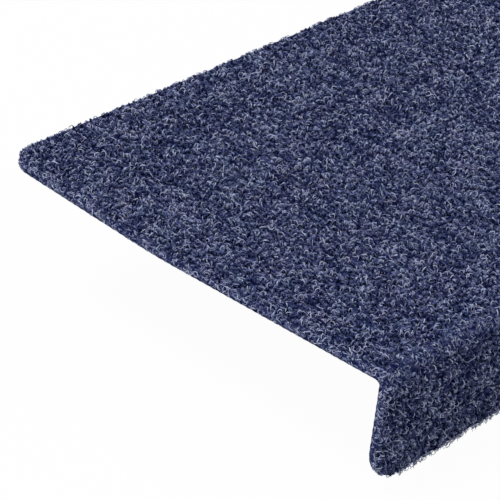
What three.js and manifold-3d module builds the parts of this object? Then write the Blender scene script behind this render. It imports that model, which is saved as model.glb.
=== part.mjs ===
// Anti-slip stair tread mat, in millimetres with +Z up.
//
// The mat is one piece of needle-punched felt. Rows of forked needles push fibres up out of the
// web, which leaves fine ribs along the mat on its pile side and a resin-coated, plain underside.
// The mat is knifed out flat, as a long rectangle with round corners, and its front strip is then
// pressed down over a former into a nosing. The felt keeps that fold.
//
// The frame is the stair's: X runs along the step, +Y points from the nosing to the back of the
// tread, and Z = 0 is the stair surface that the underside lies on. The origin is at the middle
// of the length and of the depth.
import Module from "manifold-3d";
import * as THREE from "three";
import { mergeVertices } from "three/addons/utils/BufferGeometryUtils.js";

// Driving dimensions
const LENGTH = 540; // along the step
const DEPTH = 160; // from the nosing's outer face to the back edge
const DROP = 40; // from the pile side of the tread to the nosing's lower edge
const THICKNESS = 3; // from the underside to the top of a rib
const BACK_CORNER_RADIUS = 9.5; // the two corners at the back of the tread
const NOSING_CORNER_RADIUS = 12.5; // the two corners at the nosing's lower edge
const BEND_RADIUS = 1.5; // inside the fold, where the stair's own edge sits

// The ribs follow the rows of needles.
const RIB_PITCH = 2.85;
const RIB_HEIGHT = 0.5; // from the groove between two ribs to their tops

// The back strip doesn't lie flat: it lifts gently off the stair.
const LIFT_DEGREES = 3.7; // slope of the strip
const LIFT_RUN = 57; // straight part of the strip, up to the back edge
const LIFT_BLEND = 18; // length over which the felt turns from flat to lifted

// How finely the round parts are drawn
const CORNER_STEPS = 12;
const BEND_STEPS = 12;
const LIFT_STEPS = 6;
const RIB_STEPS = 6;
const CLOSEST_POINTS = 0.1; // a rib's point that is nearer than this to another one is left out

const FULL_TURN = 2 * Math.PI;
const QUARTER_TURN = Math.PI / 2;
const LIFT_ANGLE = THREE.MathUtils.degToRad(LIFT_DEGREES);
const LIFT_RADIUS = LIFT_BLEND / LIFT_ANGLE;

// Where the underside's straight and round parts meet, in the YZ plane
const NOSING_Y = -DEPTH / 2 + THICKNESS; // the nosing's inner face
const NOSING_FOOT_Z = THICKNESS - DROP;
const FLAT_FRONT_Y = NOSING_Y + BEND_RADIUS;
const LIFT_DEPTH = LIFT_RADIUS * Math.sin(LIFT_ANGLE) + LIFT_RUN * Math.cos(LIFT_ANGLE);
const FLAT_BACK_Y = DEPTH / 2 - LIFT_DEPTH;

// The same places as lengths along the underside, from the nosing's lower edge
const BEND_START = -BEND_RADIUS - NOSING_FOOT_Z;
const BEND_END = BEND_START + BEND_RADIUS * QUARTER_TURN;
const LIFT_START = BEND_END + FLAT_BACK_Y - FLAT_FRONT_Y;
const LIFT_END = LIFT_START + LIFT_BLEND;
const BLANK_DEPTH = LIFT_END + LIFT_RUN;
const LIFT_RISE = LIFT_RADIUS * (1 - Math.cos(LIFT_ANGLE)) + LIFT_RUN * Math.sin(LIFT_ANGLE);

// The felt is made this much too large all round, and the knives take it off.
const TRIM = 2 * THICKNESS;

const AXIS_X = new THREE.Vector3(1, 0, 0);
const AXIS_Y = new THREE.Vector3(0, 1, 0);
const AXIS_Z = new THREE.Vector3(0, 0, 1);

// Parts of a length, as count + 1 values from one end to the other
function steps(from, to, count) {
  return Array.from({ length: count + 1 }, (_, i) => from + ((to - from) * i) / count);
}

// A place on the folded felt, as (y, z): a length along the underside from the nosing's lower
// edge, and a height above the underside. Height points up on the tread, forwards on the nosing.
function folded(along, height) {
  if (along <= BEND_START) {
    return new THREE.Vector2(NOSING_Y - height, NOSING_FOOT_Z + along);
  }
  if (along < BEND_END) {
    const turn = (along - BEND_START) / BEND_RADIUS;
    const spoke = new THREE.Vector2(-Math.cos(turn), Math.sin(turn));
    const centre = new THREE.Vector2(FLAT_FRONT_Y, -BEND_RADIUS);
    return centre.addScaledVector(spoke, BEND_RADIUS + height);
  }
  if (along <= LIFT_START) {
    return new THREE.Vector2(FLAT_FRONT_Y + along - BEND_END, height);
  }
  const turn = Math.min((along - LIFT_START) / LIFT_RADIUS, LIFT_ANGLE);
  const straight = new THREE.Vector2(Math.cos(turn), Math.sin(turn));
  const spoke = new THREE.Vector2(Math.sin(turn), -Math.cos(turn));
  const centre = new THREE.Vector2(FLAT_BACK_Y, LIFT_RADIUS);
  return centre
    .addScaledVector(spoke, LIFT_RADIUS - height)
    .addScaledVector(straight, Math.max(along - LIFT_END, 0));
}

// The pile side's height above the underside, with a groove between each two ribs
function pileHeight(along) {
  const groove = (1 + Math.cos((FULL_TURN * along) / RIB_PITCH)) / 2;
  return THICKNESS - RIB_HEIGHT * groove;
}

// The felt's section across the stair: ribbed on its pile side, and plain on its underside
function feltSection() {
  const turning = [
    ...steps(BEND_START, BEND_END, BEND_STEPS),
    ...steps(LIFT_START, LIFT_END, LIFT_STEPS),
  ];
  const isFree = (along) => turning.every((other) => Math.abs(other - along) > CLOSEST_POINTS);
  const first = -TRIM;
  const last = BLANK_DEPTH + TRIM;
  const ribPoints = Math.round((RIB_STEPS * (last - first)) / RIB_PITCH);
  const pileSide = [...turning, ...steps(first, last, ribPoints).filter(isFree)];
  pileSide.sort((a, b) => a - b);
  const underside = [first, ...turning, last].reverse();
  return new THREE.Shape([
    ...pileSide.map((along) => folded(along, pileHeight(along))),
    ...underside.map((along) => folded(along, 0)),
  ]);
}

// An outline as long as the mat, from a straight end at y = start to one at reach that has round
// corners
function knifeOutline(start, reach, cornerRadius) {
  const centreX = LENGTH / 2 - cornerRadius;
  const centreY = reach - cornerRadius;
  const outline = new THREE.Shape();
  outline.moveTo(-LENGTH / 2, start);
  outline.lineTo(LENGTH / 2, start);
  outline.absarc(centreX, centreY, cornerRadius, 0, QUARTER_TURN);
  outline.absarc(-centreX, centreY, cornerRadius, QUARTER_TURN, 2 * QUARTER_TURN);
  outline.closePath();
  return outline;
}

// A shape given a depth, with its own X, Y and depth laid along three directions of the frame
function extruded(shape, depth, alongX, alongY, alongDepth, start) {
  const solid = new THREE.ExtrudeGeometry(shape, {
    depth,
    bevelEnabled: false,
    curveSegments: CORNER_STEPS,
  });
  const placing = new THREE.Matrix4().makeBasis(alongX, alongY, alongDepth).setPosition(start);
  return solid.applyMatrix4(placing);
}

const wasm = await Module();
wasm.setup();

function toManifold(geometry) {
  geometry.deleteAttribute("normal");
  geometry.deleteAttribute("uv");
  const merged = mergeVertices(geometry);
  const mesh = new wasm.Mesh({
    numProp: 3,
    vertProperties: new Float32Array(merged.getAttribute("position").array),
    triVerts: new Uint32Array(merged.getIndex().array),
  });
  return new wasm.Manifold(mesh);
}

function toGeometry(manifold) {
  const mesh = manifold.getMesh();
  const geometry = new THREE.BufferGeometry();
  geometry.setAttribute("position", new THREE.BufferAttribute(mesh.vertProperties, 3));
  geometry.setIndex(new THREE.BufferAttribute(mesh.triVerts, 1));
  geometry.computeVertexNormals();
  return geometry;
}

// The real mat is knifed out before it is folded. Here the folded felt runs over on all sides,
// and two knives give it the same outline: one trims the tread from above, and the other trims
// the nosing from the front. Each goes right through the felt and clear of what it leaves.
function feltGeometry() {
  const felt = extruded(
    feltSection(),
    LENGTH + 2 * TRIM,
    AXIS_Y,
    AXIS_Z,
    AXIS_X,
    new THREE.Vector3(-LENGTH / 2 - TRIM, 0, 0),
  );
  const treadKnife = extruded(
    knifeOutline(-TRIM, DEPTH, BACK_CORNER_RADIUS),
    2 * DEPTH,
    AXIS_X,
    AXIS_Y,
    AXIS_Z,
    new THREE.Vector3(0, -DEPTH / 2, -DEPTH),
  );
  const nosingKnife = extruded(
    knifeOutline(-LIFT_RISE - TRIM, DROP, NOSING_CORNER_RADIUS),
    DEPTH + 2 * TRIM,
    AXIS_X,
    AXIS_Z.clone().negate(),
    AXIS_Y,
    new THREE.Vector3(0, -DEPTH / 2 - TRIM, THICKNESS),
  );
  const trimmedTread = toManifold(felt).intersect(toManifold(treadKnife));
  return toGeometry(trimmedTread.intersect(toManifold(nosingKnife)));
}

const heatherNavyFelt = new THREE.MeshStandardMaterial({
  color: 0x414864,
  roughness: 0.95,
  metalness: 0,
});

const mat = new THREE.Mesh(feltGeometry(), heatherNavyFelt);
mat.name = "tread_mat";

const stairTreadMat = new THREE.Group();
stairTreadMat.add(mat);

export default stairTreadMat;
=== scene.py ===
# %% [markdown]
# # An anti-slip felt mat for a stair tread
#
# The mat is one piece of needle felt. It is knifed out flat, and its front strip is pressed down
# into a nosing that hooks over the edge of the step. The imported model gives its place and its
# outer size. This lesson gives it the looks: a ribbed ground, a pile of curled fibres in a heather
# of navy and grey, soft cut edges and a coated underside.

# %% Load the model
import math
import bmesh
import bpy
import numpy as np
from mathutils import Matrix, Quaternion, Vector, noise


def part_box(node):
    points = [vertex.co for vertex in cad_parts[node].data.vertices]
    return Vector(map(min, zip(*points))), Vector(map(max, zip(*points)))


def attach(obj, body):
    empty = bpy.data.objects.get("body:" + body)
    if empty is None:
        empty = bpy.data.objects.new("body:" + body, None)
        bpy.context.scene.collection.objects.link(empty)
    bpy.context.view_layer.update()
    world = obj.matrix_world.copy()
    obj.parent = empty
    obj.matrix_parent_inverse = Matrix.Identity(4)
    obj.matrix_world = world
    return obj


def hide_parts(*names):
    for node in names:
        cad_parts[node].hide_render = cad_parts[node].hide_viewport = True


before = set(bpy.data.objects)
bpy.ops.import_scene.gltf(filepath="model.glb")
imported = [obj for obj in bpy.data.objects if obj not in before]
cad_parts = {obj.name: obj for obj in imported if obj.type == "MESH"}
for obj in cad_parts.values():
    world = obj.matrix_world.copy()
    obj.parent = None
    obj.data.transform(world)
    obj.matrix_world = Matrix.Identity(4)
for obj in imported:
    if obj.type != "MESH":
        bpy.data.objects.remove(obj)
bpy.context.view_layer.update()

LOW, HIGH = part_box("tread_mat")
print("the mat is", [round(1000 * (b - a), 1) for a, b in zip(LOW, HIGH)], "mm along X, Y and Z")

# %% [markdown]
# ## Sizes
#
# Everything is in metres. The length, the depth and the height of the nosing come from the packed
# model. The rest are the sizes that a felt maker would give: how thick the felt is, how round the
# knife's corners are, how sharp the fold is, and how far apart the rows of needles stood.

# %% Sizes
MM = 0.001
LENGTH = HIGH.x - LOW.x
THICKNESS = 3 * MM  # from the underside to the tops of the ribs
BACK_CORNER = 9.5 * MM
NOSING_CORNER = 12.5 * MM
BEND_RADIUS = 1.5 * MM  # inside the fold
LIFT_ANGLE = math.radians(3.7)  # the back strip lifts gently off the stair
LIFT_RUN = 57 * MM
LIFT_BLEND = 18 * MM
RIB_PITCH = 2.85 * MM

NOSING_Y = LOW.y + THICKNESS  # the nosing's inner face
LIFT_RADIUS = LIFT_BLEND / LIFT_ANGLE
LIFT_DEPTH = LIFT_RADIUS * math.sin(LIFT_ANGLE) + LIFT_RUN * math.cos(LIFT_ANGLE)
BEND_START = -LOW.z - BEND_RADIUS
BEND_END = BEND_START + BEND_RADIUS * math.pi / 2
LIFT_START = BEND_END + (HIGH.y - LIFT_DEPTH) - (NOSING_Y + BEND_RADIUS)
LIFT_END = LIFT_START + LIFT_BLEND
BLANK_DEPTH = LIFT_END + LIFT_RUN
print(f"the flat blank is {1000 * LENGTH:.0f} x {1000 * BLANK_DEPTH:.1f} mm")

# %% [markdown]
# ## Camera
#
# A long lens from the front left and from above shows the mat's near corner, its nosing and the
# long edge that runs away from it. The camera aims at a point, and is then rolled a little.

# %% Camera
CAMERA_PLACE = Vector((-831.64, -462.65, 442.55)) * MM
CAMERA_AIM = Vector((-284.07, -34.23, 30.39)) * MM
CAMERA_ROLL = math.radians(6.8)
SENSOR_WIDTH = 36.0  # the sensor and the lens are in millimetres, as on a real camera
LENS = 199.08

camera_data = bpy.data.cameras.new("camera")
camera_data.sensor_width = SENSOR_WIDTH
camera_data.lens = LENS
camera = bpy.data.objects.new("camera", camera_data)
bpy.context.scene.collection.objects.link(camera)
camera.location = CAMERA_PLACE
camera.rotation_mode = "QUATERNION"
looking = (CAMERA_AIM - CAMERA_PLACE).to_track_quat("-Z", "Y")
camera.rotation_quaternion = looking @ Quaternion((0, 0, 1), CAMERA_ROLL)
bpy.context.scene.camera = camera
print("the camera stands", round((CAMERA_AIM - CAMERA_PLACE).length, 3), "m from what it aims at")

# %% [markdown]
# ## The fold
#
# The real mat is made flat and then folded, and the script does the same. Each point of the felt
# is first a place on the flat blank: x along the stair, a length from the nosing's lower edge,
# and a height above the underside. One function folds such places into space. Every part of the
# mat goes through it, so the ground, the fibres and the underside always agree.
#
# The felt's direction turns from straight up, on the nosing, to level, on the tread. At the back
# it turns up again by the lift. Adding up small steps in that direction gives the section.
#
# The pile side is longer than the underside, because it goes round the outside of the fold.
# Lengths are therefore measured on the pile side. A step there is then a real step on the
# surface that shows.

# %% The folded section, as a table of small steps
OVERRUN = 6 * MM  # the table runs past both ends, for the fibres that hang over the edges
STEPS = 6000

under = np.linspace(-OVERRUN, BLANK_DEPTH + OVERRUN, STEPS)
direction = np.interp(
    under,
    [BEND_START, BEND_END, LIFT_START, LIFT_END],
    [math.pi / 2, 0, 0, LIFT_ANGLE],
)
middle = (direction[1:] + direction[:-1]) / 2
section_y = np.concatenate([[0], np.cumsum(np.cos(middle) * np.diff(under))])
section_z = np.concatenate([[0], np.cumsum(np.sin(middle) * np.diff(under))])
section_y += NOSING_Y - np.interp(0, under, section_y)
section_z += LOW.z - np.interp(0, under, section_z)
pile = under + THICKNESS * (math.pi / 2 - direction)
PILE_DEPTH = BLANK_DEPTH + THICKNESS * (math.pi / 2 - LIFT_ANGLE)


def folded(x, along, height):
    """Places on the flat felt, folded into space, as an array of (x, y, z)."""
    turn = np.interp(along, pile, direction)
    y = np.interp(along, pile, section_y) - height * np.sin(turn)
    z = np.interp(along, pile, section_z) + height * np.cos(turn)
    return np.stack([x, y, z], axis=-1)


print("the back edge's underside is at", folded(0.0, PILE_DEPTH, 0.0).round(5))

# %% [markdown]
# ## The cut edge
#
# A steel-rule knife squeezes the felt before it cuts it, so the pile rolls down over the edge and
# no square side face shows. The script treats the edge as more surface: a place that lies past
# the start of the roll is wrapped round it and then down the side. To know how far a point is
# from the knife line, it is compared with a core rectangle: the outline less its round corners.

# %% Distance to the knife line
HALF_DEPTH = PILE_DEPTH / 2
HALF_LENGTH = LENGTH / 2
TINY = 1e-9  # keeps a division from zero inside the core rectangle


def corner_radius(along):
    return np.where(along < HALF_DEPTH, NOSING_CORNER, BACK_CORNER)


def outward(x, along):
    """How far places lie outside the knife line, and the direction from it, as two arrays."""
    radius = corner_radius(along)
    core_x = HALF_LENGTH - radius
    core_along = HALF_DEPTH - radius
    from_middle = along - HALF_DEPTH
    off_x = x - np.clip(x, -core_x, core_x)
    off_along = from_middle - np.clip(from_middle, -core_along, core_along)
    off = np.stack([off_x, off_along], axis=-1)
    size = np.linalg.norm(off, axis=-1)
    facing = off / np.maximum(size, TINY)[..., None]
    return size - radius, facing


square_tip = float(outward(np.array(HALF_LENGTH), np.array(0.0))[0])
print(f"a square corner's tip would lie {1000 * square_tip:.2f} mm outside the knife line")

# %% The roll over the edge
EDGE_ROLL = 0.6 * MM  # radius of the rolled edge
QUARTER_ROLL = EDGE_ROLL * math.pi / 2
SIDE_RUN = THICKNESS - EDGE_ROLL  # straight part below the roll


def rolled(x, along, lift, pile_height):
    """Places at a lift above the pile, wrapped over the cut edge and folded into space."""
    past, facing = outward(x, along)
    run = np.maximum(past + EDGE_ROLL, 0)
    angle = np.minimum(run / EDGE_ROLL, math.pi / 2)
    down = np.maximum(run - QUARTER_ROLL, 0)
    out = (EDGE_ROLL + lift) * np.sin(angle) - run
    height = pile_height - EDGE_ROLL + (EDGE_ROLL + lift) * np.cos(angle) - down
    return folded(x + facing[..., 0] * out, along + facing[..., 1] * out, height)


print(f"the edge runs {1000 * (QUARTER_ROLL + SIDE_RUN):.2f} mm from the pile down to the underside")

# %% [markdown]
# ## The ground of the felt
#
# Under the fibres that stand up lies the needled web itself. Rows of forked needles leave low
# ribs along the mat, and chance leaves small nubs. The ground is a fine grid, which a soft noise
# and a cosine raise and lower. A texture could fake that, but real relief also shows in the
# outline and throws its own shadows.

# %% Height of the web
WEB_HEIGHT = 2.50 * MM  # on a rib. The tufts stand on it
EDGE_HEIGHT = 3.05 * MM  # at the knife line, where the web is squeezed out and up
RIB_HEIGHT = 0.35 * MM
NUB_HEIGHT = 0.16 * MM
NUB_SIZE = 2.4 * MM
EDGE_REACH = 1.3 * MM  # from the knife line to where the felt has its full relief


def rib_top(along):
    """1 on top of a rib and 0 in the groove between two."""
    at = np.interp(along, pile, under)
    return (1 - np.cos(2 * math.pi * at / RIB_PITCH)) / 2


def nubs(x, along):
    """A soft noise from about -1 to 1, which gives the web its nubs and hollows."""
    return np.array([noise.noise(Vector((a, b, 0))) for a, b in zip(x / NUB_SIZE, along / NUB_SIZE)])


def ground_height(x, along):
    inside = np.clip(-outward(x, along)[0] / EDGE_REACH, 0, 1)
    relief = RIB_HEIGHT * (1 - rib_top(along)) - NUB_HEIGHT * nubs(x, along)
    return EDGE_HEIGHT - inside * (EDGE_HEIGHT - WEB_HEIGHT + relief)


print(f"the web is {WEB_HEIGHT / MM:.2f} mm thick on a rib, and {EDGE_HEIGHT / MM:.2f} mm at the edge")

# %% [markdown]
# ### The grid, its rim and its underside
#
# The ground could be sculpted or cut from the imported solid, but a plain grid is easier to fold and
# to keep even. It starts as a flat square in a bmesh. Its open edge is extruded ring by ring, and
# Z only counts the rings for now. The last ring is filled with one face, the underside, which is
# then cut along the rows where the felt turns, because a flat face can't follow a fold.

# %% Rings of the rim, and the rows where the felt turns
COLUMNS = 240
ROWS = 274
LOWEST_RING = 0.85  # share of the side, from its top, at which the lowest ring lies
RIM_RUNS = [  # how far each ring lies from the grid's edge, on the unrolled surface
    QUARTER_ROLL / 3,
    2 * QUARTER_ROLL / 3,
    QUARTER_ROLL,
    QUARTER_ROLL + SIDE_RUN / 2,
    QUARTER_ROLL + SIDE_RUN * LOWEST_RING,
]
RINGS = len(RIM_RUNS) + 1  # the last ring is the underside's own edge
UNDER_INSET = 0.15 * MM  # how far the underside's edge lies inside the side face


def row_along(row):
    """The length from the nosing's lower edge at which a row of the grid lies."""
    return EDGE_ROLL + (PILE_DEPTH - 2 * EDGE_ROLL) * np.asarray(row) / ROWS


def turning_rows():
    at = np.interp(row_along(np.arange(ROWS + 1)), pile, under)
    bend = (at > BEND_START - MM / 2) & (at < BEND_END + MM / 2)
    lift = (at > LIFT_START) & (at < LIFT_END)
    return np.flatnonzero(bend | lift)


print("the felt turns in", len(turning_rows()), "of the grid's rows")

# %% Make the square grid
CUT_TOLERANCE = 1e-5
FACE_ORDER = Vector((1, 4 * ROWS, -20 * ROWS))  # weights that sort by ring, then row, then column


def square_felt():
    """The felt as a square from -1 to 1, with its rim and its underside hanging from it."""
    bm = bmesh.new()
    bmesh.ops.create_grid(bm, x_segments=COLUMNS, y_segments=ROWS, size=1)
    rim = [e for e in bm.edges if e.is_boundary]
    for _ in range(RINGS):
        grown = bmesh.ops.extrude_edge_only(bm, edges=rim)["geom"]
        moved = [v for v in grown if isinstance(v, bmesh.types.BMVert)]
        bmesh.ops.translate(bm, verts=moved, vec=(0, 0, -1))
        rim = [e for e in grown if isinstance(e, bmesh.types.BMEdge) and e.is_boundary]
    sole = bmesh.ops.contextual_create(bm, geom=rim)["faces"]
    for row in turning_rows():
        last = max(sole, key=lambda face: face.calc_center_median().y)
        cut = bmesh.ops.bisect_plane(
            bm,
            geom=[last, *last.edges, *last.verts],
            dist=CUT_TOLERANCE,
            plane_co=(0, 2 * row / ROWS - 1, 0),
            plane_no=(0, 1, 0),
        )
        sole = [g for g in cut["geom"] if isinstance(g, bmesh.types.BMFace)]
    for face in bm.faces:
        face.smooth = face.calc_center_median().z > -RINGS
        face.material_index = 0 if face.smooth else 1
    bmesh.ops.recalc_face_normals(bm, faces=bm.faces)
    # Extruding gives its faces in an order that changes from run to run, and sorting mends that.
    bm.faces.sort(key=lambda face: FACE_ORDER.dot(face.calc_center_median()))
    return bm


bm = square_felt()
print(len(bm.faces), "faces, and", sum(e.is_boundary for e in bm.edges), "open edges")
mesh = bpy.data.meshes.new("felt")
bm.to_mesh(mesh)
bm.free()

# %% [markdown]
# ### From the square to the mat
#
# A square turns into a rectangle with round corners if each corner patch is pressed into a quarter
# of a disc, which one short formula does. Every vertex is then moved in three steps: the square
# becomes the flat blank, the rim is laid outside it as if the edge were unrolled, and the roll and
# the fold place it. The unrolled places are kept as a UV map in metres, because felt patterns
# follow the felt.

# %% Press the square into the blank
def pressed(across, deep):
    """Places in a square from -1 to 1, as places on the blank inside the rolled edge."""
    x = across * (HALF_LENGTH - EDGE_ROLL)
    y = deep * (HALF_DEPTH - EDGE_ROLL)
    radius = np.where(y < 0, NOSING_CORNER, BACK_CORNER) - EDGE_ROLL
    core_x = HALF_LENGTH - EDGE_ROLL - radius
    core_y = HALF_DEPTH - EDGE_ROLL - radius
    a = np.clip((abs(x) - core_x) / radius, 0, 1)
    b = np.clip((abs(y) - core_y) / radius, 0, 1)
    x = np.sign(x) * (np.minimum(abs(x), core_x) + radius * a * np.sqrt(1 - b * b / 2))
    y = np.sign(y) * (np.minimum(abs(y), core_y) + radius * b * np.sqrt(1 - a * a / 2))
    return x, y + HALF_DEPTH


square = np.zeros(len(mesh.vertices) * 3)
mesh.vertices.foreach_get("co", square)
square = square.reshape(-1, 3)
blank_x, blank_along = pressed(square[:, 0], square[:, 1])
print("the grid reaches", (1000 * blank_x.max()).round(1), "mm to each side of the middle")

# %% Lay out the rim, and fold it all
ring = np.round(-square[:, 2]).astype(int)
facing = outward(blank_x, blank_along)[1]
run = np.array([0, *RIM_RUNS, EDGE_ROLL])[ring]
flat_x = blank_x + facing[:, 0] * run
flat_along = blank_along + facing[:, 1] * run
felt_places = rolled(flat_x, flat_along, 0.0, ground_height(blank_x, blank_along))

lowest = ring == RINGS
sole_x = blank_x + facing[:, 0] * (EDGE_ROLL - UNDER_INSET)
sole_along = blank_along + facing[:, 1] * (EDGE_ROLL - UNDER_INSET)
felt_places[lowest] = folded(sole_x, sole_along, 0.0)[lowest]
mesh.vertices.foreach_set("co", felt_places.ravel())

corners = np.zeros(len(mesh.loops), dtype=int)
mesh.loops.foreach_get("vertex_index", corners)
blank_map = mesh.uv_layers.new(name="blank")
blank_map.uv.foreach_set("vector", np.stack([flat_x, flat_along], axis=-1)[corners].ravel())
mesh.update()

felt = bpy.data.objects.new("felt_mat", mesh)
bpy.context.scene.collection.objects.link(felt)
print("the felt's box is", [round(1000 * s, 2) for s in felt.dimensions], "mm")

# %% [markdown]
# ## The pile
#
# The forks of the needles push fibres up out of the web. Under each fork a small tuft of fibres
# stands up and curls over, and single fibres stray from it as hooks, rings, waves and strands.
# Hair particles would do for a picture, but they are no mesh. Here each curl is a curve with a
# three-sided section, which costs only a few dozen faces.
#
# Real fibres are thinner than a tenth of a millimetre. That is too fine to show from here, so a
# thick tube with streaks along it stands for a tuft of fibres that curl together, and a thin tube
# stands for a few that stray.
#
# The tufts come first. The needles stand in staggered rows, so the tufts follow the ribs.

# %% Place the tufts along the ribs
ROW_PITCH = RIB_PITCH / 2  # one row on each rib and one in each groove
EXTRA_ROWS = 2  # past each end of the blank, for the tufts that hang over the edges
TUFT_SPACING = 2.75 * MM
TUFT_JITTER = (0.65 * MM, 0.38 * MM)  # along X and along the depth
GROOVE_RISE = 0.85  # how high a tuft in a groove stands, if one on a rib is 1
SEED = 11
random = np.random.default_rng(SEED)

row_count = int(BLANK_DEPTH / ROW_PITCH) + 1
row_numbers = np.arange(-EXTRA_ROWS, row_count + EXTRA_ROWS + 1)
row_lines = np.interp(row_numbers * ROW_PITCH, under, pile)
tuft_columns = np.arange(LOW.x - THICKNESS, HIGH.x + THICKNESS, TUFT_SPACING)
tuft_x, tuft_along = (grid.ravel() for grid in np.meshgrid(tuft_columns, row_lines))
stagger = np.repeat(row_numbers % 2, len(tuft_columns)) * TUFT_SPACING / 2
tuft_x = tuft_x + stagger + random.normal(0, 1, tuft_x.size) * TUFT_JITTER[0]
tuft_along = tuft_along + random.normal(0, 1, tuft_x.size) * TUFT_JITTER[1]
tuft_past = outward(tuft_x, tuft_along)[0]
tuft_rise = GROOVE_RISE + (1 - GROOVE_RISE) * rib_top(tuft_along)
print(tuft_x.size, "tufts in", row_count, "rows")

# %% [markdown]
# ### Which tufts are paler
#
# A heather is never even. Fibres of one dye clump when the bale is opened, which leaves soft
# clouds in the felt, and each tuft also differs a little by chance. A noise gives the clouds, and
# a random draw gives the rest. Each tuft keeps one number, which its curls share.

# %% The dye of each tuft
CLOUD_SIZE = 7 * MM  # fibres of one dye tend to lie together over this distance
CLOUD_LEVEL = 5  # which layer of the noise is used, so that it isn't the one of the nubs
CLOUD_DYE = 0.34  # how much a tuft's shade changes with its cloud
CHANCE_DYE = 0.10  # and by chance

cloud_x = tuft_x / CLOUD_SIZE
cloud_along = tuft_along / CLOUD_SIZE
clouds = [noise.noise(Vector((a, b, CLOUD_LEVEL))) for a, b in zip(cloud_x, cloud_along)]
tuft_shade = CHANCE_DYE * random.normal(0, 1, tuft_x.size) + CLOUD_DYE * np.array(clouds)
print("the tufts' shades spread by", tuft_shade.std().round(3))

# %% [markdown]
# ### How a curl is drawn
#
# A curl could be copied from a few models, but copies show as a pattern. It is drawn afresh on the
# blank by walking: each step goes on in the heading, and the heading turns a little more each
# time. A wave turns back half-way. Then the curl is tilted up on its two ends, so that it stands
# as an arch.

# %% Kinds of curl
# points, radius in mm, turn in degrees, rise in mm, thickness in mm, spread on the tuft in mm
CURLS = {
    "tuft": (3, (0.50, 0.74), (180, 230), (1.05, 1.65), (0.68, 0.98), 0.0),
    "hook": (5, (0.62, 1.10), (170, 260), (1.35, 2.05), (0.28, 0.40), 0.5),
    "ring": (8, (0.60, 1.00), (280, 380), (1.40, 2.00), (0.28, 0.38), 0.5),
    "wave": (6, (0.80, 1.40), (100, 170), (1.30, 1.90), (0.28, 0.40), 0.5),
    "strand": (5, (2.20, 4.50), (30, 70), (1.40, 1.80), (0.30, 0.42), 0.8),
}


def walked(kind, count):
    """Curls about the origin of the blank, as two arrays of steps along X and along the depth."""
    points, radius, turns = CURLS[kind][:3]
    turn = np.radians(random.uniform(*turns, count))
    step = random.uniform(*radius, count) * MM * turn / (points - 1)
    second_half = np.linspace(0, 1, points) > 0.5
    turns_back = second_half & (kind == "wave")
    bend = np.where(turns_back, -1.0, 1.0) * random.choice([-1, 1], count)[:, None]
    heading = random.uniform(0, 2 * math.pi, count)[:, None]
    heading = heading + np.cumsum(bend * turn[:, None] / (points - 1), axis=1)
    x = np.cumsum(np.cos(heading) * step[:, None], axis=1)
    along = np.cumsum(np.sin(heading) * step[:, None], axis=1)
    return x - x.mean(axis=1, keepdims=True), along - along.mean(axis=1, keepdims=True)


print("kinds of curl:", ", ".join(CURLS))

# %% Stand a curl up
LEAN_SPREAD = 0.6  # how far a curl may turn from standing on its two ends, in radians
LEANING = (0.1, 0.7)  # what is left, seen from above, of a curl's width once it stands


def standing(walk_x, walk_along):
    """Curls tilted up on their two ends, as x, along and the share of the rise at each point."""
    middle = walk_x.shape[1] // 2
    apex_x = walk_x[:, middle] - (walk_x[:, 0] + walk_x[:, -1]) / 2
    apex_along = walk_along[:, middle] - (walk_along[:, 0] + walk_along[:, -1]) / 2
    lean = np.arctan2(apex_along, apex_x) + random.normal(0, LEAN_SPREAD, len(walk_x))
    lean_x = np.cos(lean)[:, None]
    lean_along = np.sin(lean)[:, None]
    across = walk_x * lean_x + walk_along * lean_along
    across = across - across.min(axis=1, keepdims=True)
    drawn_in = across * (random.uniform(*LEANING, len(walk_x))[:, None] - 1)
    share = across / across.max(axis=1, keepdims=True)
    return walk_x + drawn_in * lean_x, walk_along + drawn_in * lean_along, share


# %% [markdown]
# ### A curl on its tuft
#
# Each curl stands on a tuft and reaches a little above it. The knife has pressed the pile flat at
# the edge, so curls lie lower there, and none hangs below the side. Besides its path, a curl keeps
# a shade, which says how pale its dye is. Painted shade darkens it towards its ends, where the
# fibres go down into the web and would lie in each other's shadow.

# %% Curls on their tufts
SUNK = 0.15 * MM  # the ends of a curl lie this far under the ground
EDGE_LIFT = 0.42  # what is left of a curl's height at the knife line
EDGE_SINK = 0.62  # a curl sinks by this share of its thickness there
SIDE_MARGIN = 0.30 * MM  # curls end this far above the side's lower edge
SIDE_END = QUARTER_ROLL - EDGE_ROLL + SIDE_RUN - SIDE_MARGIN
# painted shade: the ends of a curl are drawn darker, as if they lay in the web's shadow
ROOT_PAINTED_SHADE = 0.38  # how much darker a curl is where it leaves the web


def curls(kind, tuft, mean_shade, shade_spread):
    """Paths in space, shades and thicknesses of curls on the given tufts."""
    rises, thicknesses, spread = CURLS[kind][3:]
    count = len(tuft)
    walk_x, walk_along, share = standing(*walked(kind, count))
    x = (tuft_x[tuft] + random.normal(0, 1, count) * spread * MM)[:, None] + walk_x
    along = (tuft_along[tuft] + random.normal(0, 1, count) * spread * MM)[:, None] + walk_along
    past, facing = outward(x, along)
    over = np.maximum(past - SIDE_END, 0)
    x = x - over * facing[..., 0]
    along = along - over * facing[..., 1]
    rise = random.uniform(*rises, count) * MM * tuft_rise[tuft]
    inside = np.clip(-past / EDGE_REACH, 0, 1)
    thickness = random.uniform(*thicknesses, count) * MM
    lift = (share * rise[:, None] - SUNK) * (EDGE_LIFT + (1 - EDGE_LIFT) * inside)
    lift = lift - (1 - inside) * EDGE_SINK * thickness[:, None]
    ground = ground_height(x.ravel(), along.ravel()).reshape(x.shape)
    shade = mean_shade + tuft_shade[tuft] + shade_spread * random.normal(0, 1, count)
    # painted shade: each curl is drawn darker towards its ends, where it goes down into the web
    shade = shade[:, None] - ROOT_PAINTED_SHADE * (1 - share)
    return rolled(x, along, lift, ground), np.clip(shade, 0, 1), thickness


print(f"curls end {1000 * SIDE_END:.2f} mm past the knife line")

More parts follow.
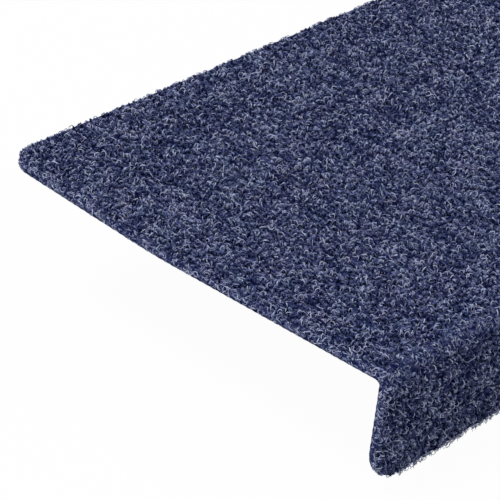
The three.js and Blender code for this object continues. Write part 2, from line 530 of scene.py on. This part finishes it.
# %% [markdown]
# ### Loose fibres at the nosing's lower edge
#
# Nothing holds the last fibres below the nosing, so some hang from the cut as a soft fringe. They
# are hooks like the others, but they hang under the edge instead of standing on a tuft, and they
# are the thinnest and the palest ones.

# %% The fringe
FUZZ_HANG = 1.3 * MM  # the middle of a hook lies up to this far below the edge
FUZZ_HEIGHTS = (1.6 * MM, 3.0 * MM)  # above the underside
FUZZ_SLANT = 1.0 * MM  # how much one end of a hook may be higher than the other
FUZZ_THICKNESS = (0.18, 0.28)  # in mm
FUZZ_SHADE_DROP = 0.1  # most are as pale as the dye goes, and some are darker by about this


def fuzz(count, first, last):
    """Hooks that hang from the edge between two lengths along X, as curls() gives them."""
    straight = HALF_LENGTH - NOSING_CORNER
    start = random.uniform(max(first, -straight), min(last, straight), count)
    walk_x, walk_along = walked("hook", count)
    t = np.linspace(-0.5, 0.5, walk_x.shape[1])
    x = start[:, None] + walk_x
    along = walk_along - random.uniform(0, FUZZ_HANG, count)[:, None]
    slant = random.uniform(-1, 1, count)[:, None] * FUZZ_SLANT
    height = random.uniform(*FUZZ_HEIGHTS, count)[:, None] + slant * t
    shade = np.clip(1.0 - FUZZ_SHADE_DROP * abs(random.normal(0, 1, count)), 0, 1)
    shade = np.repeat(shade[:, None], len(t), axis=1)
    return folded(x, along, height), shade, random.uniform(*FUZZ_THICKNESS, count) * MM


# %% [markdown]
# ### From paths to tubes
#
# A path becomes a fibre when a section is swept along it. Extruding a triangle step by step would
# do, but a curve object with a bevel shape sweeps thousands of paths at once and keeps the
# sections square to them. The ends of a fibre are thinner than its middle. The tubes are left open
# at first, because then their vertices come in the order of the paths, and the ends are filled
# afterwards.

# %% A three-sided section
SECTION_SIDES = 3

section = bpy.data.curves.new("fibre_section", "CURVE")
section_line = section.splines.new("POLY")
section_line.points.add(SECTION_SIDES - 1)
section_line.use_cyclic_u = True
for i, point in enumerate(section_line.points):
    turned = -2 * math.pi * i / SECTION_SIDES
    point.co = (math.cos(turned), math.sin(turned), 0, 1)
section_object = bpy.data.objects.new("fibre_section", section)
bpy.context.scene.collection.objects.link(section_object)
print("the section has", len(section_line.points), "sides")

# %% Sweep the section along every path
TAPER = (0.28, 0.72)  # the part of half a wave that a fibre's thickness follows


def tubes(name, paths, radii):
    """A mesh with one thin tube along each path, and a ring of vertices at each of its points."""
    curve = bpy.data.curves.new(name, "CURVE")
    curve.dimensions = "3D"
    curve.bevel_mode = "OBJECT"
    curve.bevel_object = section_object
    for path, radius in zip(paths, radii):
        line = curve.splines.new("POLY")
        line.points.add(len(path) - 1)
        line.points.foreach_set("co", np.column_stack([path, np.ones(len(path))]).ravel())
        taper = np.sin(math.pi * np.linspace(*TAPER, len(path)))
        line.points.foreach_set("radius", radius * taper)
    holder = bpy.data.objects.new(name, curve)
    bpy.context.scene.collection.objects.link(holder)
    depsgraph = bpy.context.evaluated_depsgraph_get()
    made = bpy.data.meshes.new_from_object(holder.evaluated_get(depsgraph), depsgraph=depsgraph)
    bpy.data.objects.remove(holder)
    bpy.data.curves.remove(curve)
    return made


def close_ends(mesh):
    """Fills the two open ends of each tube."""
    bm = bmesh.new()
    bm.from_mesh(mesh)
    open_ends = [e for e in bm.edges if e.is_boundary]
    bmesh.ops.edgeloop_fill(bm, edges=open_ends)
    bmesh.ops.recalc_face_normals(bm, faces=bm.faces)
    print(len(bm.verts), "vertices,", sum(not e.is_manifold for e in bm.edges), "open edges")
    print("the tubes hold", round(bm.calc_volume(signed=True) / MM**3), "cubic millimetres")
    bm.to_mesh(mesh)
    bm.free()


# %% [markdown]
# ### What a tube carries
#
# The material needs two things that no texture could know. The shade is the curl's dye, point by
# point, with the painted shade at its ends. The strand says where a vertex lies round its tube and
# along it, with a start of its own for each curl, so that streaks can follow the curl. Both are
# stored on the vertices.

# %% Shades and strands
def carried(paths, shades):
    """The shade and the strand of each vertex in a batch of curls."""
    count = paths.shape[1]
    point = np.repeat(np.arange(count), SECTION_SIDES)
    side = np.tile(np.arange(SECTION_SIDES), count)
    angle = 2 * math.pi * side / SECTION_SIDES
    own_start = random.uniform(0, 1000, len(paths))[:, None]
    share = point / (count - 1) + own_start
    strand = np.stack(np.broadcast_arrays(np.cos(angle), np.sin(angle), share), axis=-1)
    return shades[:, point].ravel(), strand.reshape(-1, 3)


def print_offset(mesh, paths):
    """Prints how far the vertices lie from the points of the paths that they belong to."""
    places = np.zeros(len(mesh.vertices) * 3)
    mesh.vertices.foreach_get("co", places)
    centres = np.concatenate([np.repeat(path, SECTION_SIDES, axis=0) for path in paths])
    off = np.linalg.norm(places.reshape(-1, 3) - centres, axis=1)
    print("no vertex is farther than", round(off.max() / MM, 2), "mm from its curl's path")


# %% [markdown]
# ### The pile, in five lengths
#
# The pile could be one mesh, but that would be heavy to handle. It is split along the mat, and
# nothing shows where, because a curl belongs whole to one length. Each length has all its tufts,
# the strays on top of them, and more hooks near the knife line, where the squeezed pile frays.

# %% Choose the curls of one length
PIECES = 5
STRAYS = {"hook": 1960, "ring": 310, "wave": 340, "strand": 120}  # in one length
RIM_HOOKS = 230
RIM = 2 * MM  # how far inside the knife line the rim's hooks may stand
FUZZ = 320

# the mean shade and its spread
TUFT_SHADE = (0.36, 0.12)
STRAY_SHADE = (0.92, 0.18)
RIM_SHADE = (0.84, 0.18)


def pile_batches(first, last):
    """The batches of curls between two lengths along X."""
    here = (tuft_x >= first) & (tuft_x < last) & (tuft_past < SIDE_END)
    on_felt = np.flatnonzero(here)
    on_rim = np.flatnonzero(here & (tuft_past > -RIM))
    batches = [curls("tuft", on_felt, *TUFT_SHADE)]
    for kind, count in STRAYS.items():
        batches.append(curls(kind, random.choice(on_felt, count), *STRAY_SHADE))
    batches.append(curls("hook", random.choice(on_rim, RIM_HOOKS), *RIM_SHADE))
    batches.append(fuzz(FUZZ, first, last))
    return batches


# %% Make each length of the pile
END_MARGIN = 2 * MM  # the outer lengths take the tufts that stand past the mat's ends too


def pile_piece(name, batches):
    """An object with one tube for each curl, and what the curls carry."""
    paths = [path for batch in batches for path in batch[0]]
    radii = np.concatenate([thickness for _, _, thickness in batches]) / 2
    mesh = tubes(name, paths, radii)
    shades, strands = zip(*[carried(places, shade) for places, shade, _ in batches])
    shade = mesh.attributes.new("shade", "FLOAT", "POINT")
    shade.data.foreach_set("value", np.concatenate(shades).astype(np.float32))
    strand = mesh.attributes.new("strand", "FLOAT_VECTOR", "POINT")
    strand.data.foreach_set("vector", np.concatenate(strands).ravel().astype(np.float32))
    print_offset(mesh, paths)
    close_ends(mesh)
    mesh.shade_smooth()
    mesh.calc_loop_triangles()
    piece = bpy.data.objects.new(name, mesh)
    bpy.context.scene.collection.objects.link(piece)
    print(name, "has", len(paths), "curls and", len(mesh.loop_triangles), "triangles")
    return piece


pile_pieces = []
cuts = np.linspace(LOW.x - END_MARGIN, HIGH.x + END_MARGIN, PIECES + 1)
for number, (first, last) in enumerate(zip(cuts[:-1], cuts[1:]), start=1):
    pile_pieces.append(pile_piece(f"pile_{number}", pile_batches(first, last)))
bpy.data.objects.remove(section_object)

# %% [markdown]
# ## Finishes
#
# A finish is a small network of nodes. Clicking it together works, but a script can repeat what it
# needs. One function turns a colour that is written as on the web into the linear values that a
# shader takes, and one adds a node with its settings and its links.

# %% Helpers for colours and nodes
COLOURS = {"data_type": "RGBA"}  # the sockets of such a mix are 0, 6 and 7, and its result is 2
SMOOTH = {"interpolation_type": "SMOOTHSTEP"}
FLAT_NOISE = {"noise_dimensions": "2D"}
FLAT_CELLS = {"voronoi_dimensions": "2D"}
MULTIPLY = {"operation": "MULTIPLY"}
SUBTRACT = {"operation": "SUBTRACT"}
MULTIPLY_ADD = {"operation": "MULTIPLY_ADD"}
NOISE_LOW = 0.3  # most values of a noise lie between these two
NOISE_HIGH = 0.7


def linear(code):
    """An sRGB colour such as #10143a, as the linear RGBA that shaders take."""
    parts = [int(code[i : i + 2], 16) / 255 for i in (1, 3, 5)]
    return [c / 12.92 if c <= 0.04045 else ((c + 0.055) / 1.055) ** 2.4 for c in parts] + [1.0]


def add(tree, kind, settings=None, **inputs):
    """One node. Settings are its properties, and inputs are values or sockets to link."""
    node = tree.nodes.new(kind)
    for key, value in (settings or {}).items():
        setattr(node, key, value)
    for key, value in inputs.items():
        name = int(key[1:]) if key[1:].isdigit() else key.replace("_", " ")
        if isinstance(value, bpy.types.Node):
            value = value.outputs[0]
        if isinstance(value, bpy.types.NodeSocket):
            tree.links.new(value, node.inputs[name])
        else:
            node.inputs[name].default_value = value
    return node


def new_material(name):
    material = bpy.data.materials.new(name)
    material.use_nodes = True
    material.node_tree.nodes.clear()
    return material, material.node_tree


print("a mid grey is written #808080 and is", round(linear("#808080")[0], 3), "to a shader")

# %% [markdown]
# ### The dye
#
# The fibres are polypropylene, dyed in the melt before they were spun. A heather is a blend of two
# or three such dyes. Here they are a deep navy, a slate blue and a pale lavender grey. Dyes also
# vary from batch to batch, so the felt turns a little towards teal in some places and a little
# towards purple in others. One tint over all fibres would miss that, so a soft noise mixes two.

# %% A slight change of dye from place to place
DYE_PATCH = 6 * MM
PATCH_EDGES = (0.35, 0.65)  # the noise's values at which a patch is all teal or all purple
TEAL = (0.965, 1.015, 1.01, 1.0)  # factors on a linear colour
PURPLE = (1.04, 0.985, 1.00, 1.0)


def dyed(tree, colour):
    """A colour, turned a little towards teal or purple in patches."""
    place = add(tree, "ShaderNodeTexCoord").outputs["Object"]
    patches = add(tree, "ShaderNodeTexNoise", Vector=place, Scale=1 / DYE_PATCH, Detail=1.0)
    low, high = PATCH_EDGES
    share = add(tree, "ShaderNodeMapRange", Value=patches, From_Min=low, From_Max=high)
    tint = add(tree, "ShaderNodeMix", COLOURS, _0=share, _6=TEAL, _7=PURPLE)
    settings = {**COLOURS, "blend_type": "MULTIPLY"}
    return add(tree, "ShaderNodeMix", settings, _0=1.0, _6=colour, _7=tint.outputs[2]).outputs[2]


# %% [markdown]
# ### The ground's own tufts
#
# Between the tubes the ground shows, and it is fibre too. Modelling it fibre by fibre would cost
# millions of faces for what lies in shade, so it is a pattern. The pattern starts from cells as
# wide as a tuft, on the unrolled felt. A noise sways them, so that no row looks ruled.

# %% The tufts, as a pattern
TUFT_WIDTH = 2.2  # in millimetres, as the pattern's own coordinates are
TUFT_DISORDER = 0.85
TUFT_EDGES = (0.28, 0.62)  # in tuft widths from its middle, where a tuft starts to fade and ends
STRETCH = 1.4  # the pattern is this much longer along the depth, as standing fibres look
SWAY_SIZE = 2.2222  # mm from one sway to the next
SWAY = 1.8  # mm


def tuft_pattern(tree, blank):
    """A swayed place on the blank in mm, and a mask: 1 on a tuft and 0 in the gap between two."""
    flat = add(tree, "ShaderNodeMapping", Vector=blank, Scale=(1 / MM, 1 / STRETCH / MM, 1.0))
    sway = add(
        tree, "ShaderNodeTexNoise", FLAT_NOISE, Vector=flat, Scale=1 / SWAY_SIZE, Detail=2.0
    ).outputs["Color"]
    place = add(
        tree, "ShaderNodeVectorMath", MULTIPLY_ADD, _0=sway, _1=(SWAY, SWAY, 0.0), _2=flat
    )
    tufts = add(
        tree,
        "ShaderNodeTexVoronoi",
        FLAT_CELLS,
        Vector=place,
        Scale=1 / TUFT_WIDTH,
        Randomness=TUFT_DISORDER,
    )
    mask = add(
        tree,
        "ShaderNodeMapRange",
        SMOOTH,
        Value=tufts.outputs["Distance"],
        From_Min=TUFT_EDGES[0],
        From_Max=TUFT_EDGES[1],
        To_Min=1.0,
        To_Max=0.0,
    )
    return place, mask


# %% [markdown]
# ### A layer of fibres in the ground
#
# Each cell of a random pattern holds one fibre, as part of a ring round the cell's middle: near
# the right distance the colour is the fibre's, and beside it lies its shadow. The angle round the
# middle cuts the ring open. Real fibres are several times thinner than these, which are drawn
# coarser so that they show at all.

# %% One layer of fibres
ARC_RADIUS = (0.16, 0.46)  # in widths of a cell
ARC_EDGES = (0.5, 1.4)  # in half widths of the fibre, where it starts to fade and ends
SHADOW_REACH = 3.5  # in half widths of the fibre
ARC_TURN = (0.60, 0.70)  # share of a full turn at which a fibre starts to fade and ends


def fibre_layer(tree, place, cell, width, offset):
    """One arc in each cell of a random pattern: masks of the arc and its shadow, and a chance."""
    scale = (1 / cell, 1 / cell, 1)
    moved = add(tree, "ShaderNodeMapping", Vector=place, Location=offset, Scale=scale)
    cells = add(tree, "ShaderNodeTexVoronoi", FLAT_CELLS, Vector=moved, Scale=1.0)
    chance = add(tree, "ShaderNodeSeparateColor", Color=cells.outputs["Color"])
    least, most = ARC_RADIUS
    radius = add(tree, "ShaderNodeMapRange", Value=chance.outputs[0], To_Min=least, To_Max=most)
    gap = add(tree, "ShaderNodeMath", SUBTRACT, _0=cells.outputs["Distance"], _1=radius)
    gap = add(tree, "ShaderNodeMath", {"operation": "ABSOLUTE"}, _0=gap)
    half = width / cell / 2
    arc = add(
        tree,
        "ShaderNodeMapRange",
        SMOOTH,
        Value=gap,
        From_Min=half * ARC_EDGES[0],
        From_Max=half * ARC_EDGES[1],
        To_Min=1.0,
        To_Max=0.0,
    )
    shadow = add(
        tree,
        "ShaderNodeMapRange",
        Value=gap,
        From_Min=half,
        From_Max=half * SHADOW_REACH,
        To_Min=1.0,
        To_Max=0.0,
    )
    spoke = add(tree, "ShaderNodeVectorMath", SUBTRACT, _0=moved, _1=cells.outputs["Position"])
    part = add(tree, "ShaderNodeSeparateXYZ", Vector=spoke)
    x, y = part.outputs[0], part.outputs[1]
    angle = add(tree, "ShaderNodeMath", {"operation": "ARCTAN2"}, _0=x, _1=y)
    turns = add(
        tree, "ShaderNodeMath", MULTIPLY_ADD, _0=angle, _1=1 / (2 * math.pi), _2=chance.outputs[1]
    )
    around = add(tree, "ShaderNodeMath", {"operation": "FRACT"}, _0=turns)
    drawn = add(
        tree,
        "ShaderNodeMapRange",
        Value=around,
        From_Min=ARC_TURN[0],
        From_Max=ARC_TURN[1],
        To_Min=1.0,
        To_Max=0.0,
    )
    arc = add(tree, "ShaderNodeMath", MULTIPLY, _0=arc, _1=drawn)
    shadow = add(tree, "ShaderNodeMath", MULTIPLY, _0=shadow, _1=drawn)
    return arc, shadow, chance.outputs[2]


# %% [markdown]
# ### The ground's finish
#
# The felt is needle-punched polypropylene. Its dull, hairy surface scatters light, so it is rough,
# and most glints are lost between the fibres, so its specular level is low. Five layers of fibres
# lie one over the other, and the lower ones are drawn darker as painted shade, from dark ones deep
# down to pale ones on top. The gaps between the tufts are painted dark too, and the upper layers
# keep to the tufts, because the gaps between them are deep.

# %% The colours of the ground
# painted shade over the web's navy: the colour of the gaps between the tufts and of each drawn fibre's
# shadow
DEEP_PAINTED_SHADE = linear("#0f1844")  # between the tufts
SHADED = linear("#2b345b")  # on a tuft, below the fibres that are drawn on it
SHADOW = 0.6  # how dark a fibre makes the ones that it lies on

# the lower layers are drawn darker than the upper ones, as painted shade
# width of a cell and of a fibre in mm, darkest and palest fibre, and how far it keeps to the tufts
LAYERS = [
    (2.4, 0.42, "#10183c", "#525d8b", 0.20),
    (1.9, 0.38, "#182046", "#6a75a5", 0.30),
    (2.2, 0.38, "#242d56", "#8891bb", 0.40),
    (1.7, 0.34, "#343d69", "#a6afd3", 0.50),
    (2.0, 0.34, "#4f5885", "#c2c9e4", 0.60),
]
LAYER_SHIFT = (3.7, 9.1)  # in cells, so that no two layers look alike

GROUND_CLOUD_SIZE = 7.6923  # mm
GROUND_CLOUD_TONE = 0.3  # how much a cloud makes its fibres paler or darker
print(len(LAYERS), "layers of fibres")

# %% The ground of the felt
TUFT_BULGE = 0.5  # how high a tuft stands in the relief, of 1
FIRST_LAYER = 0.6  # how high the first layer of fibres stands
LAYER_STEP = 0.1  # how much higher each further layer stands
GROUND_RELIEF = 0.25 * MM
POLYPROPYLENE_IOR = 1.49


def felt_ground():
    material, tree = new_material("needle-punched polypropylene, heather navy")
    blank = add(tree, "ShaderNodeUVMap", {"uv_map": "blank"})
    place, tuft = tuft_pattern(tree, blank)
    clouds = add(
        tree, "ShaderNodeTexNoise", FLAT_NOISE, Vector=place, Scale=1 / GROUND_CLOUD_SIZE, Detail=3.0
    )
    cloud = add(
        tree,
        "ShaderNodeMapRange",
        Value=clouds,
        From_Min=NOISE_LOW,
        From_Max=NOISE_HIGH,
        To_Min=-GROUND_CLOUD_TONE,
        To_Max=GROUND_CLOUD_TONE,
    )
    # painted shade: the gaps between the tufts are darker than the tufts
    colour = add(tree, "ShaderNodeMix", COLOURS, _0=tuft, _6=DEEP_PAINTED_SHADE, _7=SHADED).outputs[2]
    height = add(tree, "ShaderNodeMath", MULTIPLY, _0=tuft, _1=TUFT_BULGE)
    for number, (cell, width, dark, pale, tufted) in enumerate(LAYERS):
        offset = (LAYER_SHIFT[0] * number, LAYER_SHIFT[1] * number, 0.0)
        arc, shadow, chance = fibre_layer(tree, place, cell, width, offset)
        keep = add(tree, "ShaderNodeMapRange", Value=tuft, To_Min=1 - tufted, To_Max=1.0)
        arc = add(tree, "ShaderNodeMath", MULTIPLY, _0=arc, _1=keep)
        shadow = add(tree, "ShaderNodeMath", MULTIPLY, _0=shadow, _1=keep)
        shadow = add(tree, "ShaderNodeMath", MULTIPLY, _0=shadow, _1=SHADOW)
        tone = add(
            tree, "ShaderNodeMath", {"operation": "ADD", "use_clamp": True}, _0=chance, _1=cloud
        )
        fibre = add(tree, "ShaderNodeMix", COLOURS, _0=tone, _6=linear(dark), _7=linear(pale))
        # painted shadow beside each drawn fibre
        colour = add(tree, "ShaderNodeMix", COLOURS, _0=shadow, _6=colour, _7=DEEP_PAINTED_SHADE).outputs[2]
        colour = add(
            tree, "ShaderNodeMix", COLOURS, _0=arc, _6=colour, _7=fibre.outputs[2]
        ).outputs[2]
        layer_top = FIRST_LAYER + LAYER_STEP * number
        raised = add(tree, "ShaderNodeMath", MULTIPLY, _0=arc, _1=layer_top)
        height = add(tree, "ShaderNodeMath", {"operation": "MAXIMUM"}, _0=height, _1=raised)
    bump = add(tree, "ShaderNodeBump", Height=height, Strength=1.0, Distance=GROUND_RELIEF)
    shader = add(
        tree,
        "ShaderNodeBsdfPrincipled",
        Base_Color=dyed(tree, colour),
        Roughness=0.85,
        IOR=POLYPROPYLENE_IOR,
        Specular_IOR_Level=0.03,
        Normal=bump,
    )
    add(tree, "ShaderNodeOutputMaterial", Surface=shader)
    return material


ground_finish = felt_ground()
felt.data.materials.append(ground_finish)
print("the ground's finish has", len(ground_finish.node_tree.nodes), "nodes")

# %% [markdown]
# ### The fibres' finish
#
# The pile is polypropylene staple fibre. It is spun and crimped, so it is smoother than the ground
# and has a faint sheen. A tuft is many fibres side by side, of more than one dye. Streaks along
# the tube show that, and they are wider than the real fibres, which would be too fine to see. The
# curl's shade, which holds its dye and the painted shade at its ends, and the streaks together pick
# a colour from a ramp of the three dyes.

# %% The pile
STREAKS = (3.2, 3.2, 1.0)  # how fast the streaks change round the tube and along it
STREAK_SHADE = 0.42  # how much paler or darker a streak is
STREAK_RELIEF = 0.15 * MM
DYES = [(0.10, "#0c1644"), (0.38, "#455182"), (0.62, "#8b96c6"), (0.93, "#d0d8f4")]


def fibre_material():
    material, tree = new_material("polypropylene staple fibre, heather navy")
    strand = add(tree, "ShaderNodeAttribute", {"attribute_name": "strand"}).outputs["Vector"]
    shade = add(tree, "ShaderNodeAttribute", {"attribute_name": "shade"}).outputs["Fac"]
    place = add(tree, "ShaderNodeMapping", Vector=strand, Scale=STREAKS)
    streaks = add(tree, "ShaderNodeTexNoise", Vector=place, Scale=1.0, Detail=2.0)
    change = add(
        tree,
        "ShaderNodeMapRange",
        Value=streaks,
        From_Min=NOISE_LOW,
        From_Max=NOISE_HIGH,
        To_Min=-STREAK_SHADE,
        To_Max=STREAK_SHADE,
    )
    tone = add(tree, "ShaderNodeMath", {"operation": "ADD"}, _0=shade, _1=change)
    ramp = add(tree, "ShaderNodeValToRGB", Fac=tone)
    stops = ramp.color_ramp.elements
    stops[0].position = DYES[0][0]
    stops[1].position = DYES[-1][0]
    for position, _ in DYES[1:-1]:
        stops.new(position)
    for stop, (_, code) in zip(stops, DYES):
        stop.color = linear(code)
    bump = add(tree, "ShaderNodeBump", Height=streaks, Strength=1.0, Distance=STREAK_RELIEF)
    shader = add(
        tree,
        "ShaderNodeBsdfPrincipled",
        Base_Color=dyed(tree, ramp),
        Roughness=0.6,
        IOR=POLYPROPYLENE_IOR,
        Specular_IOR_Level=0.05,
        Normal=bump,
    )
    add(tree, "ShaderNodeOutputMaterial", Surface=shader)
    return material


staple = fibre_material()
for piece in pile_pieces:
    piece.data.materials.append(staple)
print(len(pile_pieces), "lengths of pile share one finish")

# %% [markdown]
# ### The coated underside
#
# The back of such felt is soaked in resin, which holds the needled fibres and keeps the mat from
# sliding. It dries to a plain grey film over the web. The film is a little smoother than the felt
# and slightly grainy. A flat grey would look like plastic sheet, so a fine noise gives the grain.

# %% The resin
RESIN_GRAIN = 1.1111 * MM
RESIN_RELIEF = 0.2 * MM
RESIN_DARK = linear("#2a2d3a")
RESIN_PALE = linear("#4a4e60")


def resin_material():
    material, tree = new_material("resin-coated felt back, grey")
    place = add(tree, "ShaderNodeTexCoord").outputs["Object"]
    grain = add(tree, "ShaderNodeTexNoise", Vector=place, Scale=1 / RESIN_GRAIN, Detail=3.0)
    tone = add(
        tree, "ShaderNodeMapRange", Value=grain, From_Min=NOISE_LOW, From_Max=NOISE_HIGH
    )
    colour = add(tree, "ShaderNodeMix", COLOURS, _0=tone, _6=RESIN_DARK, _7=RESIN_PALE)
    bump = add(tree, "ShaderNodeBump", Height=grain, Strength=0.6, Distance=RESIN_RELIEF)
    shader = add(
        tree,
        "ShaderNodeBsdfPrincipled",
        Base_Color=colour.outputs[2],
        Roughness=0.6,
        IOR=1.5,
        Normal=bump,
    )
    add(tree, "ShaderNodeOutputMaterial", Surface=shader)
    return material


felt.data.materials.append(resin_material())
print("the felt has", len(felt.data.materials), "finishes")

# %% [markdown]
# ## Tie the pieces to the model
#
# The felt stands for the imported solid, and the five lengths of pile are part of the same felt. The
# real mat is one flat blank that keeps its fold. All of it rides on the one body, because nothing on
# this mat moves.

# %% The body, and the imported solid hidden
for piece in [felt, *pile_pieces]:
    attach(piece, "root")
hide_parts("tread_mat")
print("the felt and its", len(pile_pieces), "lengths of pile are one sheet")

# %% [markdown]
# ## Floor and light
#
# The mat stands on white studio paper, in plain soft light. More light could make the paper white,
# but it would bleach the mat too. Instead the paper and the world behind it glow only for what
# looks at them: the camera, and rays that come by way of a mirror or glass. To all other rays they
# are a pale floor and an even sky. A small part of the paper stays real to the camera too, and
# keeps the mat's soft shadow.

# %% What only the camera sees
def seen_plainly(tree):
    """1 for rays from the camera or by way of a mirror or glass, and 0 for all others."""
    rays = add(tree, "ShaderNodeLightPath").outputs
    largest = {"operation": "MAXIMUM"}
    seen = add(tree, "ShaderNodeMath", largest, _0=rays["Is Camera Ray"], _1=rays["Is Glossy Ray"])
    return add(tree, "ShaderNodeMath", largest, _0=seen, _1=rays["Is Transmission Ray"])


# %% Floor
FLOOR_SIZE = 6.0
FLOOR_GAP = 2.4 * MM  # below the nosing's edge. The longest fibres of its fringe just touch it
GLOW_SHARE = 0.97  # the rest is paper
PAPER = linear("#f0f0f0")
WHITE = (1, 1, 1, 1)

bm = bmesh.new()
bmesh.ops.create_grid(bm, x_segments=1, y_segments=1, size=FLOOR_SIZE / 2)
bmesh.ops.translate(bm, verts=bm.verts, vec=(0, 0, LOW.z - FLOOR_GAP))
floor_mesh = bpy.data.meshes.new("floor")
bm.to_mesh(floor_mesh)
bm.free()
floor = bpy.data.objects.new("floor", floor_mesh)
bpy.context.scene.collection.objects.link(floor)

material, tree = new_material("white studio paper")
paper = add(tree, "ShaderNodeBsdfDiffuse", Color=PAPER)
glow = add(tree, "ShaderNodeEmission", Color=WHITE, Strength=1.0)
share = add(tree, "ShaderNodeMath", MULTIPLY, _0=seen_plainly(tree), _1=GLOW_SHARE)
mixed = add(tree, "ShaderNodeMixShader", _0=share, _1=paper, _2=glow)
add(tree, "ShaderNodeOutputMaterial", Surface=mixed)
floor_mesh.materials.append(material)
print("the floor lies", round((LOW.z - FLOOR_GAP) / MM, 1), "mm from the stair's surface")

# %% World and lamp
WORLD_LIGHT = 0.55
LAMP_LIGHT = 1.6
LAMP_ANGLE = math.radians(25)  # as wide as a softbox looks from the mat
LAMP_FROM = Vector((-0.35, 0.45, 1.0))

world = bpy.data.worlds.new("studio")
bpy.context.scene.world = world
world.use_nodes = True
tree = world.node_tree
tree.nodes.clear()
level = add(tree, "ShaderNodeMapRange", Value=seen_plainly(tree), To_Min=WORLD_LIGHT, To_Max=1.0)
sky = add(tree, "ShaderNodeBackground", Color=WHITE, Strength=level)
add(tree, "ShaderNodeOutputWorld", Surface=sky)

lamp_data = bpy.data.lights.new("softbox", "SUN")
lamp_data.energy = LAMP_LIGHT
lamp_data.angle = LAMP_ANGLE
lamp = bpy.data.objects.new("softbox", lamp_data)
lamp.rotation_euler = LAMP_FROM.to_track_quat("Z", "Y").to_euler()
bpy.context.scene.collection.objects.link(lamp)
bpy.context.scene.view_settings.view_transform = "Standard"
lamp_slant = math.degrees(LAMP_FROM.angle(Vector((0, 0, 1))))
print("the lamp stands", round(lamp_slant), "degrees off the vertical")
